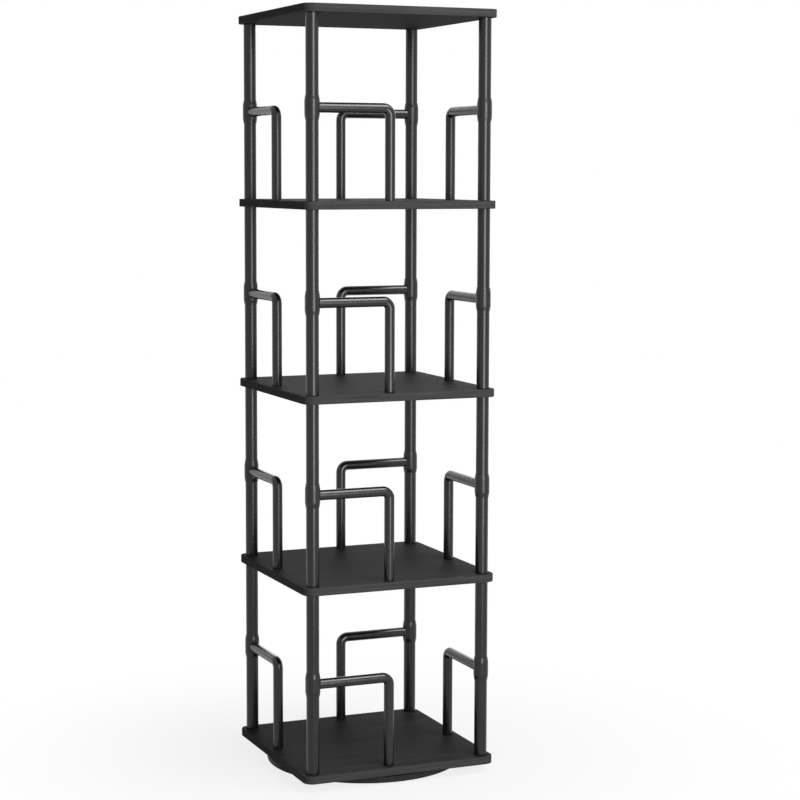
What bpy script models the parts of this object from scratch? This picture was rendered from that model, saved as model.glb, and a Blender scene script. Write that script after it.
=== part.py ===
"""Revolving bookcase: square boards on tubular posts, bent guard rails on each tier, and a turntable base.

Sizes are in metres and +Z is up. The origin is on the floor, on the axis that the bookcase turns about,
and the front faces -Y. Everything above the base disc turns as one carousel on a ring of balls.
"""

import math

import bmesh
import bpy
from mathutils import Matrix, Vector

# Carousel: boards, posts and tiers. The boards reach just past the base disc, which sets the plan.
TIER_PITCH = 0.354
POST_DIAMETER = 0.024
POST_WALL = 0.0012
BOARD_OVERHANG = 0.021
BASE_SETBACK = 0.003
BOARD_THICKNESS = 0.015
BOARD_CORNER_RADIUS = 0.019
BOARD_EDGE_CHAMFER = 0.0012

# Threaded joint between two posts, through the board that they clamp
STUD_DIAMETER = 0.008
STUD_ENGAGEMENT = 0.012
PLUG_LENGTH = 0.015
BOLT_HEAD_DIAMETER = 0.015
BOLT_HEAD_DEPTH = 0.0042

# Guard rails and the collars that carry them
RAIL_HEIGHT = 0.169
GUARD_REACH = 0.153
GUARD_DIAMETER = 0.019
GUARD_WALL = 0.0012
GUARD_INNER_BEND = 0.004
GUARD_PLUG_LENGTH = 0.012
GUARD_SCREW_HOLE = 0.005
COLLAR_WALL = 0.0018
COLLAR_TIP_WALL = 0.0005
COLLAR_HEIGHT = 0.044
COLLAR_TAPER = 0.010
STUB_LENGTH = 0.020

# Base disc and foot ring
BASE_DIAMETER = 0.380
BASE_FLOOR = 0.0065
BASE_TOP_CHAMFER = 0.0015
BASE_FOOT_CHAMFER = 0.003
TURNTABLE_GAP = 0.0025
FOOT_PROUD = 0.002
FOOT_THICKNESS = 0.004
FOOT_WIDTH = 0.016
FOOT_INSET = 0.024

# Ball bearing between the base disc and the bottom board
BALL_CIRCLE_RADIUS = 0.078
BALL_DIAMETER = 0.006
BALL_COUNT = 12
CAGE_WIDTH = 0.007
CAGE_THICKNESS = 0.0009
RACE_THICKNESS = 0.0015
RACE_HALF_WIDTH = 0.012
GROOVE_DEPTH = 0.0009
GROOVE_FLOOR_WIDTH = 0.0024
GROOVE_MOUTH_WIDTH = 0.0052
FLANGE_RISE = 0.0024
FLANGE_STEP = 0.002
FLANGE_WIDTH = 0.006
LIP_OVERLAP = 0.0025
LIP_THICKNESS = 0.0012
LIP_CLEARANCE = 0.0005
SKIRT_CLEARANCE = 0.0009
POCKET_CLEARANCE = 0.0015

# Gap between pieces that touch, and the play of a stud in its hole
FIT_GAP = 0.0003
HOLE_PLAY = 0.0005

# Facets of round pieces, and the angles past which an edge is shaded sharp or gets eased
POST_SIDES = 16
COLLAR_SIDES = 12
GUARD_SIDES = 12
BORE_SIDES = 8
BEND_STEPS = 3
CORNER_STEPS = 4
RACE_SIDES = 28
BASE_SIDES = 36
BALL_SIDES = 6
BALL_BANDS = 4
SHARP_ANGLE = math.radians(35)
EASED_ANGLE = math.radians(60)
MERGE_DISTANCE = 1e-6

# Levels and spans that follow from the sizes above
BASE_RADIUS = BASE_DIAMETER / 2
POST_RADIUS = POST_DIAMETER / 2
STUD_RADIUS = STUD_DIAMETER / 2
HOLE_RADIUS = STUD_RADIUS + HOLE_PLAY
GUARD_RADIUS = GUARD_DIAMETER / 2
GUARD_BORE_RADIUS = GUARD_RADIUS - GUARD_WALL
BEND_RADIUS = GUARD_RADIUS + GUARD_INNER_BEND
BOARD_WIDTH = BASE_DIAMETER + 2 * BASE_SETBACK
POST_SPACING = BOARD_WIDTH - 2 * BOARD_OVERHANG
HALF_SPACING = POST_SPACING / 2
BALL_RADIUS = BALL_DIAMETER / 2
RACE_INNER = BALL_CIRCLE_RADIUS - RACE_HALF_WIDTH
FLANGE_STEP_RADIUS = BALL_CIRCLE_RADIUS + RACE_HALF_WIDTH
FLANGE_OUTER = FLANGE_STEP_RADIUS + FLANGE_STEP + FLANGE_WIDTH
SKIRT_INNER = FLANGE_OUTER + SKIRT_CLEARANCE
SKIRT_OUTER = SKIRT_INNER + LIP_THICKNESS
RACE_SPACE = BALL_DIAMETER + 2 * FIT_GAP - 2 * GROOVE_DEPTH
BEARING_HEIGHT = 2 * RACE_THICKNESS + RACE_SPACE + 2 * FIT_GAP
POCKET_DEPTH = BEARING_HEIGHT - TURNTABLE_GAP
POCKET_LEVEL = FOOT_PROUD + BASE_FLOOR
BASE_TOP = POCKET_LEVEL + POCKET_DEPTH
LOWER_RACE_LEVEL = POCKET_LEVEL + FIT_GAP
UPPER_RACE_LEVEL = LOWER_RACE_LEVEL + RACE_THICKNESS + RACE_SPACE
BALL_LEVEL = LOWER_RACE_LEVEL + RACE_THICKNESS + RACE_SPACE / 2
BOTTOM_BOARD_TOP = BASE_TOP + TURNTABLE_GAP + BOARD_THICKNESS
POST_LENGTH = TIER_PITCH - BOARD_THICKNESS - 2 * FIT_GAP

TIERS = ("bottom", "lower", "upper", "top")
BOARDS = ("bottom_board", "lower_shelf", "middle_shelf", "upper_shelf", "top_board")
CORNERS = ("front_left", "front_right", "back_right", "back_left")
SIDES = ("front", "right", "back", "left")

Outline = list[tuple[float, float]]
Edges = list[bmesh.types.BMEdge]


def circumscribed(radius: float, sides: int) -> float:
    """Corner radius of a polygon whose flats lie at the given radius."""
    return radius / math.cos(math.pi / sides)


def new_object(name: str, bm: bmesh.types.BMesh) -> bpy.types.Object:
    """Turns a finished bmesh into an object in the scene, with its faces pointing out."""
    bmesh.ops.remove_doubles(bm, verts=bm.verts, dist=MERGE_DISTANCE)
    bmesh.ops.recalc_face_normals(bm, faces=bm.faces)
    mesh = bpy.data.meshes.new(name)
    bm.to_mesh(mesh)
    bm.free()
    made = bpy.data.objects.new(name, mesh)
    bpy.context.scene.collection.objects.link(made)
    return made


def turned(name: str, profile: Outline, sides: int, ring: bool = False) -> bpy.types.Object:
    """Revolves a (radius, height) outline about Z. A ring's outline is closed, other ends get flat caps."""
    bm = bmesh.new()
    corners = [bm.verts.new((radius, 0, height)) for radius, height in profile]
    edges = [bm.edges.new(pair) for pair in zip(corners, corners[1:])]
    if ring:
        edges.append(bm.edges.new((corners[-1], corners[0])))
    bmesh.ops.spin(
        bm,
        geom=corners + edges,
        cent=(0, 0, 0),
        axis=(0, 0, 1),
        angle=2 * math.pi,
        steps=sides,
        use_merge=True,
    )
    bmesh.ops.holes_fill(bm, edges=bm.edges)
    return new_object(name, bm)


def rod(name: str, radius: float, low: float, high: float, sides: int) -> bpy.types.Object:
    """A round bar along Z between two heights."""
    return turned(name, [(radius, high), (radius, low)], sides)


def pushed(bm: bmesh.types.BMesh, edges: Edges, move: Vector) -> Edges:
    """Extrudes a loop of edges along a vector and returns the new loop."""
    grown = bmesh.ops.extrude_edge_only(bm, edges=edges)["geom"]
    bmesh.ops.translate(bm, verts=[g for g in grown if isinstance(g, bmesh.types.BMVert)], vec=move)
    return [g for g in grown if isinstance(g, bmesh.types.BMEdge)]


def bent_bar(name: str, radius: float, sides: int, start: float, foot: float) -> bpy.types.Object:
    """A round bar that runs along +X at rail height, bends down and ends at the height of its foot."""
    bm = bmesh.new()
    upright = Matrix.Translation((start, 0, RAIL_HEIGHT)) @ Matrix.Rotation(math.pi / 2, 4, "Y")
    bmesh.ops.create_circle(bm, segments=sides, radius=radius, matrix=upright)
    bend_start = GUARD_REACH - BEND_RADIUS
    bend_level = RAIL_HEIGHT - BEND_RADIUS
    loop = pushed(bm, list(bm.edges), Vector((bend_start - start, 0, 0)))
    swung = bmesh.ops.spin(
        bm,
        geom=loop,
        cent=(bend_start, 0, bend_level),
        axis=(0, 1, 0),
        angle=math.pi / 2,
        steps=BEND_STEPS,
    )["geom_last"]
    loop = [g for g in swung if isinstance(g, bmesh.types.BMEdge)]
    pushed(bm, loop, Vector((0, 0, foot - bend_level)))
    bmesh.ops.holes_fill(bm, edges=bm.edges)
    return new_object(name, bm)


def carved(body: bpy.types.Object, *steps: tuple[str, bpy.types.Object]) -> bpy.types.Mesh:
    """Applies Boolean steps to a body, removes the tools and returns the finished mesh.

    Each step is an operation, DIFFERENCE or UNION, and the object that it uses. With no steps
    the mesh is the body's own, with its modifiers applied.
    """
    for operation, tool in steps:
        step = body.modifiers.new(operation.title(), "BOOLEAN")
        step.operation = operation
        step.solver = "EXACT"
        step.object = tool
    graph = bpy.context.evaluated_depsgraph_get()
    mesh = bpy.data.meshes.new_from_object(body.evaluated_get(graph))
    mesh.name = body.name
    for used in (body, *(tool for _, tool in steps)):
        bpy.data.objects.remove(used)
    return mesh


def finish(
    name: str,
    colour: tuple[float, float, float],
    roughness: float,
    metallic: float,
) -> bpy.types.Material:
    """A Principled material of one colour."""
    made = bpy.data.materials.new(name)
    made.use_nodes = True
    shader = made.node_tree.nodes["Principled BSDF"]
    shader.inputs["Base Color"].default_value = (*colour, 1)
    shader.inputs["Roughness"].default_value = roughness
    shader.inputs["Metallic"].default_value = metallic
    return made


def place(
    name: str,
    mesh: bpy.types.Mesh,
    material: bpy.types.Material,
    parent: bpy.types.Object,
    location: tuple[float, float, float],
    turn: float = 0.0,
) -> None:
    """Adds one named piece that carries a mesh, under its body's empty."""
    if not mesh.materials:
        mesh.materials.append(material)
    mesh.shade_smooth()
    mesh.set_sharp_from_angle(angle=SHARP_ANGLE)
    piece = bpy.data.objects.new(name, mesh)
    piece.location = location
    piece.rotation_euler.z = turn
    piece.parent = parent
    bpy.context.scene.collection.objects.link(piece)


def body_empty(name: str) -> bpy.types.Object:
    """An empty on the turning axis that holds the pieces of one body."""
    made = bpy.data.objects.new(name, None)
    bpy.context.scene.collection.objects.link(made)
    return made


def quarter(index: int, x: float, y: float) -> tuple[float, float]:
    """A point of the front pattern, turned by that many quarter turns about the axis."""
    point = Matrix.Rotation(index * math.pi / 2, 2) @ Vector((x, y))
    return point.x, point.y


def plain_board(name: str) -> bpy.types.Object:
    """A square board with round corners and eased edges, its top face at height 0."""
    half = BOARD_WIDTH / 2
    radius = min(BOARD_CORNER_RADIUS, half)
    bm = bmesh.new()
    outline = []
    for corner in range(4):
        for step in range(CORNER_STEPS + 1):
            angle = math.pi + step / CORNER_STEPS * math.pi / 2
            x = -half + radius + radius * math.cos(angle)
            y = -half + radius + radius * math.sin(angle)
            outline.append(bm.verts.new((*quarter(corner, x, y), -BOARD_THICKNESS)))
    edges = [bm.edges.new(pair) for pair in zip(outline, outline[1:] + outline[:1])]
    pushed(bm, edges, Vector((0, 0, BOARD_THICKNESS)))
    bmesh.ops.holes_fill(bm, edges=bm.edges)
    board = new_object(name, bm)
    eased = board.modifiers.new("Eased edges", "BEVEL")
    eased.width = BOARD_EDGE_CHAMFER
    eased.segments = 1
    eased.limit_method = "ANGLE"
    eased.angle_limit = EASED_ANGLE
    return board


def through_hole(x: float, y: float, radius: float, sides: int) -> bpy.types.Object:
    """A cutter for a hole right through a board."""
    cutter = rod("hole_cutter", radius, -2 * BOARD_THICKNESS, BOARD_THICKNESS, sides)
    cutter.location = (x, y, 0)
    return cutter


def bolt_hole(x: float, y: float, from_below: bool) -> bpy.types.Object:
    """A cutter for a countersunk bolt hole, with its head in the board's top or its underside."""
    head = BOLT_HEAD_DIAMETER / 2
    slope = (head - HOLE_RADIUS) / BOLT_HEAD_DEPTH
    profile = [
        (head + slope * BOLT_HEAD_DEPTH, BOLT_HEAD_DEPTH),
        (HOLE_RADIUS, -BOLT_HEAD_DEPTH),
        (HOLE_RADIUS, -2 * BOARD_THICKNESS),
    ]
    cutter = turned("bolt_cutter", profile, BORE_SIDES)
    cutter.location = (x, y, -BOARD_THICKNESS if from_below else 0)
    cutter.rotation_euler.x = math.pi if from_below else 0
    return cutter


def board_mesh(name: str) -> bpy.types.Mesh:
    """One board with its post holes and, where a tier stands on it, holes for the guards' foot screws."""
    steps = []
    for index in range(4):
        x, y = quarter(index, -HALF_SPACING, -HALF_SPACING)
        if name in ("top_board", "bottom_board"):
            steps.append(("DIFFERENCE", bolt_hole(x, y, from_below=name == "bottom_board")))
        else:
            steps.append(("DIFFERENCE", through_hole(x, y, HOLE_RADIUS, BORE_SIDES)))
        if name != "top_board":
            x, y = quarter(index, GUARD_REACH - HALF_SPACING, -HALF_SPACING)
            steps.append(("DIFFERENCE", through_hole(x, y, GUARD_SCREW_HOLE / 2, BORE_SIDES)))
    return carved(plain_board(name), *steps)


def post_mesh(has_stud: bool) -> bpy.types.Mesh:
    """A tube with a threaded plug in each end. A stud on its upper plug reaches into the post above."""
    tube = rod("post", POST_RADIUS, 0, POST_LENGTH, POST_SIDES)
    bore = POST_RADIUS - POST_WALL
    hollow = [
        (bore, POST_LENGTH - PLUG_LENGTH),
        (bore, PLUG_LENGTH),
        (HOLE_RADIUS, PLUG_LENGTH),
        (HOLE_RADIUS, -PLUG_LENGTH),
    ]
    if not has_stud:
        socket_top = POST_LENGTH + PLUG_LENGTH
        hollow = [(HOLE_RADIUS, socket_top), (HOLE_RADIUS, POST_LENGTH - PLUG_LENGTH), *hollow]
    steps = [("DIFFERENCE", turned("post_hollow", hollow, BORE_SIDES))]
    if has_stud:
        tip = POST_LENGTH + BOARD_THICKNESS + 2 * FIT_GAP + STUD_ENGAGEMENT
        stud = rod("post_stud", STUD_RADIUS, POST_LENGTH - PLUG_LENGTH / 2, tip, BORE_SIDES)
        steps.append(("UNION", stud))
    return carved(tube, *steps)


def collar_mesh() -> bpy.types.Mesh:
    """A sleeve with tapered ends round the post, and a stub along +X that plugs into the guard's bore."""
    bore = POST_RADIUS + FIT_GAP
    outer = circumscribed(bore + COLLAR_WALL, COLLAR_SIDES)
    tip = circumscribed(bore + COLLAR_TIP_WALL, COLLAR_SIDES)
    top = COLLAR_HEIGHT / 2
    shoulder = top - COLLAR_TAPER
    profile = [(tip, top), (outer, shoulder), (outer, -shoulder), (tip, -top)]
    stub = rod("collar_stub", GUARD_BORE_RADIUS - FIT_GAP, 0, outer + STUB_LENGTH, BORE_SIDES)
    stub.rotation_euler.y = math.pi / 2
    bore_corner = circumscribed(bore, COLLAR_SIDES)
    post_bore = rod("collar_bore", bore_corner, -COLLAR_HEIGHT, COLLAR_HEIGHT, COLLAR_SIDES)
    return carved(turned("collar", profile, COLLAR_SIDES), ("UNION", stub), ("DIFFERENCE", post_bore))


def guard_mesh() -> bpy.types.Mesh:
    """A bent tube, coped at one end to sit against its collar and plugged at its foot for a screw."""
    outer = bent_bar("guard", GUARD_RADIUS, GUARD_SIDES, 0, FIT_GAP)
    plug_top = FIT_GAP + GUARD_PLUG_LENGTH
    bore = bent_bar("guard_bore", GUARD_BORE_RADIUS, BORE_SIDES, -POST_RADIUS, plug_top)
    seat = circumscribed(POST_RADIUS + FIT_GAP + COLLAR_WALL + FIT_GAP, COLLAR_SIDES)
    low = RAIL_HEIGHT - GUARD_DIAMETER
    high = RAIL_HEIGHT + GUARD_DIAMETER
    cope = rod("guard_cope", seat, low, high, COLLAR_SIDES)
    return carved(outer, ("DIFFERENCE", bore), ("DIFFERENCE", cope))


def groove(level: float, depth: float) -> Outline:
    """Ball groove in a race's face, listed from its outer side to its inner side."""
    mouth = GROOVE_MOUTH_WIDTH / 2
    floor = GROOVE_FLOOR_WIDTH / 2
    return [
        (BALL_CIRCLE_RADIUS + mouth, level),
        (BALL_CIRCLE_RADIUS + floor, level + depth),
        (BALL_CIRCLE_RADIUS - floor, level + depth),
        (BALL_CIRCLE_RADIUS - mouth, level),
    ]


def lower_race_mesh() -> bpy.types.Mesh:
    """Pressed ring on the base disc, with a ball groove and a raised flange that holds the upper race."""
    low = LOWER_RACE_LEVEL
    high = low + RACE_THICKNESS
    profile = [
        (RACE_INNER, low),
        (FLANGE_STEP_RADIUS + FLANGE_STEP, low),
        (FLANGE_STEP_RADIUS + FLANGE_STEP, low + FLANGE_RISE),
        (FLANGE_OUTER, low + FLANGE_RISE),
        (FLANGE_OUTER, high + FLANGE_RISE),
        (FLANGE_STEP_RADIUS, high + FLANGE_RISE),
        (FLANGE_STEP_RADIUS, high),
        *groove(high, -GROOVE_DEPTH),
        (RACE_INNER, high),
    ]
    return carved(turned("lower_race", profile, RACE_SIDES, ring=True))


def upper_race_mesh() -> bpy.types.Mesh:
    """Pressed ring under the bottom board, with a skirt and a lip that turns in under the lower flange."""
    low = UPPER_RACE_LEVEL
    lip_top = LOWER_RACE_LEVEL + FLANGE_RISE - LIP_CLEARANCE
    profile = [
        (RACE_INNER, low + RACE_THICKNESS),
        (SKIRT_OUTER, low + RACE_THICKNESS),
        (SKIRT_OUTER, lip_top - LIP_THICKNESS),
        (FLANGE_OUTER - LIP_OVERLAP, lip_top - LIP_THICKNESS),
        (FLANGE_OUTER - LIP_OVERLAP, lip_top),
        (SKIRT_INNER, lip_top),
        (SKIRT_INNER, low),
        *groove(low, GROOVE_DEPTH),
        (RACE_INNER, low),
    ]
    return carved(turned("upper_race", profile, RACE_SIDES, ring=True))


def ball_ring_mesh() -> bpy.types.Mesh:
    """The cage ring with its balls, centred on the level of the balls."""
    inner = BALL_CIRCLE_RADIUS - CAGE_WIDTH / 2
    outer = BALL_CIRCLE_RADIUS + CAGE_WIDTH / 2
    half = CAGE_THICKNESS / 2
    outline = [(inner, half), (outer, half), (outer, -half), (inner, -half)]
    cage = turned("ball_ring", outline, RACE_SIDES, ring=True)
    bm = bmesh.new()
    for ball in range(BALL_COUNT):
        angle = 2 * math.pi * ball / BALL_COUNT
        seat = Matrix.Rotation(angle, 4, "Z") @ Matrix.Translation((BALL_CIRCLE_RADIUS, 0, 0))
        bmesh.ops.create_uvsphere(
            bm,
            u_segments=BALL_SIDES,
            v_segments=BALL_BANDS,
            radius=BALL_RADIUS,
            matrix=seat,
        )
    return carved(cage, ("UNION", new_object("balls", bm)))


def base_disc_mesh() -> bpy.types.Mesh:
    """Round base board with a pocket for the bearing in its top and a groove for the foot ring below."""
    bottom = FOOT_PROUD
    foot_outer = BASE_RADIUS - FOOT_INSET + FIT_GAP
    foot_inner = BASE_RADIUS - FOOT_INSET - FOOT_WIDTH - FIT_GAP
    foot_seat = FOOT_THICKNESS + FIT_GAP
    profile = [
        (SKIRT_OUTER + POCKET_CLEARANCE, POCKET_LEVEL),
        (SKIRT_OUTER + POCKET_CLEARANCE, BASE_TOP),
        (BASE_RADIUS - BASE_TOP_CHAMFER, BASE_TOP),
        (BASE_RADIUS, BASE_TOP - BASE_TOP_CHAMFER),
        (BASE_RADIUS, bottom + BASE_FOOT_CHAMFER),
        (BASE_RADIUS - BASE_FOOT_CHAMFER, bottom),
        (foot_outer, bottom),
        (foot_outer, foot_seat),
        (foot_inner, foot_seat),
        (foot_inner, bottom),
    ]
    return carved(turned("base_disc", profile, BASE_SIDES))


def foot_ring_mesh() -> bpy.types.Mesh:
    """Rubber ring let into the underside of the base disc, standing proud of it on the floor."""
    outer = BASE_RADIUS - FOOT_INSET
    inner = outer - FOOT_WIDTH
    profile = [(inner, FOOT_THICKNESS), (outer, FOOT_THICKNESS), (outer, 0), (inner, 0)]
    return carved(turned("foot_ring", profile, BASE_SIDES, ring=True))


def build_base() -> None:
    """The base that stands on the floor, with the fixed half of the bearing and the ball ring."""
    base = body_empty("base_axis")
    laminate = finish("base_laminate", (0.028, 0.028, 0.030), 0.5, 0.0)
    steel = finish("race_steel", (0.50, 0.50, 0.52), 0.35, 1.0)
    bright = finish("ball_steel", (0.62, 0.62, 0.64), 0.2, 1.0)
    rubber = finish("foot_rubber", (0.020, 0.020, 0.020), 0.85, 0.0)
    place("base_disc", base_disc_mesh(), laminate, base, (0, 0, 0))
    place("foot_ring", foot_ring_mesh(), rubber, base, (0, 0, 0))
    place("lower_race", lower_race_mesh(), steel, base, (0, 0, 0))
    place("ball_ring", ball_ring_mesh(), bright, body_empty("ball_ring_axis"), (0, 0, BALL_LEVEL))


def build_carousel() -> None:
    """The turning part: the upper race, the boards, and each tier's posts, collars and guards."""
    carousel = body_empty("carousel_axis")
    laminate = finish("board_laminate", (0.030, 0.030, 0.032), 0.45, 0.0)
    post_paint = finish("post_paint", (0.022, 0.022, 0.024), 0.35, 0.0)
    guard_paint = finish("guard_paint", (0.024, 0.024, 0.026), 0.32, 0.0)
    collar_plastic = finish("collar_plastic", (0.020, 0.020, 0.021), 0.42, 0.0)
    steel = finish("upper_race_steel", (0.50, 0.50, 0.52), 0.35, 1.0)
    place("upper_race", upper_race_mesh(), steel, carousel, (0, 0, 0))
    shelf = board_mesh("shelf")
    for level, name in enumerate(BOARDS):
        mesh = board_mesh(name) if name.endswith("board") else shelf
        place(name, mesh, laminate, carousel, (0, 0, BOTTOM_BOARD_TOP + level * TIER_PITCH))
    studded = post_mesh(has_stud=True)
    topmost = post_mesh(has_stud=False)
    collar = collar_mesh()
    guard = guard_mesh()
    for level, tier in enumerate(TIERS):
        floor = BOTTOM_BOARD_TOP + level * TIER_PITCH
        post = topmost if tier == "top" else studded
        for index, (corner, side) in enumerate(zip(CORNERS, SIDES)):
            x, y = quarter(index, -HALF_SPACING, -HALF_SPACING)
            turn = index * math.pi / 2
            foot = (x, y, floor + FIT_GAP)
            rail = (x, y, floor + RAIL_HEIGHT)
            place(f"{tier}_post_{corner}", post, post_paint, carousel, foot, turn)
            place(f"{tier}_collar_{corner}", collar, collar_plastic, carousel, rail, turn)
            place(f"{tier}_guard_{side}", guard, guard_paint, carousel, (x, y, floor), turn)


def main() -> None:
    """Clears the scene and builds the bookcase."""
    for old in list(bpy.data.objects):
        bpy.data.objects.remove(old)
    build_base()
    build_carousel()


if __name__ == "__main__":
    main()
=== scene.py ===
"""Looks of a revolving bookcase: fine shapes, finishes, fasteners, studio and camera.

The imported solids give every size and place. Each piece that shows is modelled again here at a finer
grain, stands for its solid and rides on the same body. Sizes are in metres, +Z is up and the front of
the case faces -Y.
"""

import logging
import math
from collections.abc import Callable, Iterator, Mapping, Sequence
from contextlib import contextmanager
from dataclasses import KW_ONLY, dataclass
from enum import Enum

import bmesh
import bpy
from mathutils import Matrix, Vector


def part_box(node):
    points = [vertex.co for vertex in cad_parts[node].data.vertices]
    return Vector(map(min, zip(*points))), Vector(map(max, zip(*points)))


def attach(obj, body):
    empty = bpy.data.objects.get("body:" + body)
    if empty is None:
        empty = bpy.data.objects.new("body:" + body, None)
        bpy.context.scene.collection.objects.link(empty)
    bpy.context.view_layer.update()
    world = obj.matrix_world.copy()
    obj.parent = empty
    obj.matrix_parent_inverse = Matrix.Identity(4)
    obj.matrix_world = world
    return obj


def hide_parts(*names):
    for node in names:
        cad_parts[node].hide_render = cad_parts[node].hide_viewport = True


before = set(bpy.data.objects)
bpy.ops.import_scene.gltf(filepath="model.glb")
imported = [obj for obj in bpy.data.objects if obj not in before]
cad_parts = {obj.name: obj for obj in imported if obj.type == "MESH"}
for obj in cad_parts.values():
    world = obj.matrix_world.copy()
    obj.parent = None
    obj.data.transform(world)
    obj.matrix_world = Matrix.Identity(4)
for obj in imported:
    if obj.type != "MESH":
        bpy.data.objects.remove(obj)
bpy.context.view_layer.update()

LOG = logging.getLogger("bookcase")
IMAGE_SIZE = 800

Colour = tuple[float, float, float]
Frequency = tuple[float, float, float]
Outline = Sequence[tuple[float, float]]
Piece = bpy.types.Object
Material = bpy.types.Material
Socket = bpy.types.NodeSocket

WHITE = (1, 1, 1, 1)
# Gap between pieces that fit together, the same as between the solids.
FIT_GAP = 0.0003
# Points nearer to each other than this are merged.
MERGE_DISTANCE = 1e-6
# Edges that turn by more than this are eased, and stay crisp where a piece is shaded smooth.
CRISP_ANGLE = math.radians(40)
# The middle part of a noise, in which most of its values lie.
NOISE_LOW = 0.3
NOISE_HIGH = 0.7
# Turns a fastener that was modelled head up, so that it goes in from below.
HEAD_DOWN = Matrix.Rotation(math.pi, 4, "X")


class Body(Enum):
    """The rigid bodies that pieces ride on."""

    BASE = "base"
    BALL_RING = "ball_ring"
    CAROUSEL = "carousel"


class Tier(Enum):
    """The four tiers, from the base up."""

    BOTTOM = "bottom"
    LOWER = "lower"
    UPPER = "upper"
    TOP = "top"

    @property
    def level(self) -> int:
        """Index of the board that this tier stands on."""
        return list(Tier).index(self)


class Quarter(Enum):
    """The four corners, each with the side that its guard runs along."""

    FRONT_LEFT = ("front_left", "front")
    FRONT_RIGHT = ("front_right", "right")
    BACK_RIGHT = ("back_right", "back")
    BACK_LEFT = ("back_left", "left")

    @property
    def corner(self) -> str:
        """Name of the corner."""
        return self.value[0]

    @property
    def side(self) -> str:
        """Name of the side that the corner's guard runs along."""
        return self.value[1]

    @property
    def turn(self) -> Matrix:
        """Rotation that takes the front-left corner to this one."""
        return Matrix.Rotation(list(Quarter).index(self) * math.pi / 2, 4, "Z")


class Board(Enum):
    """The five boards, from the base up."""

    BOTTOM = "bottom_board"
    LOWER = "lower_shelf"
    MIDDLE = "middle_shelf"
    UPPER = "upper_shelf"
    TOP = "top_board"


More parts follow.
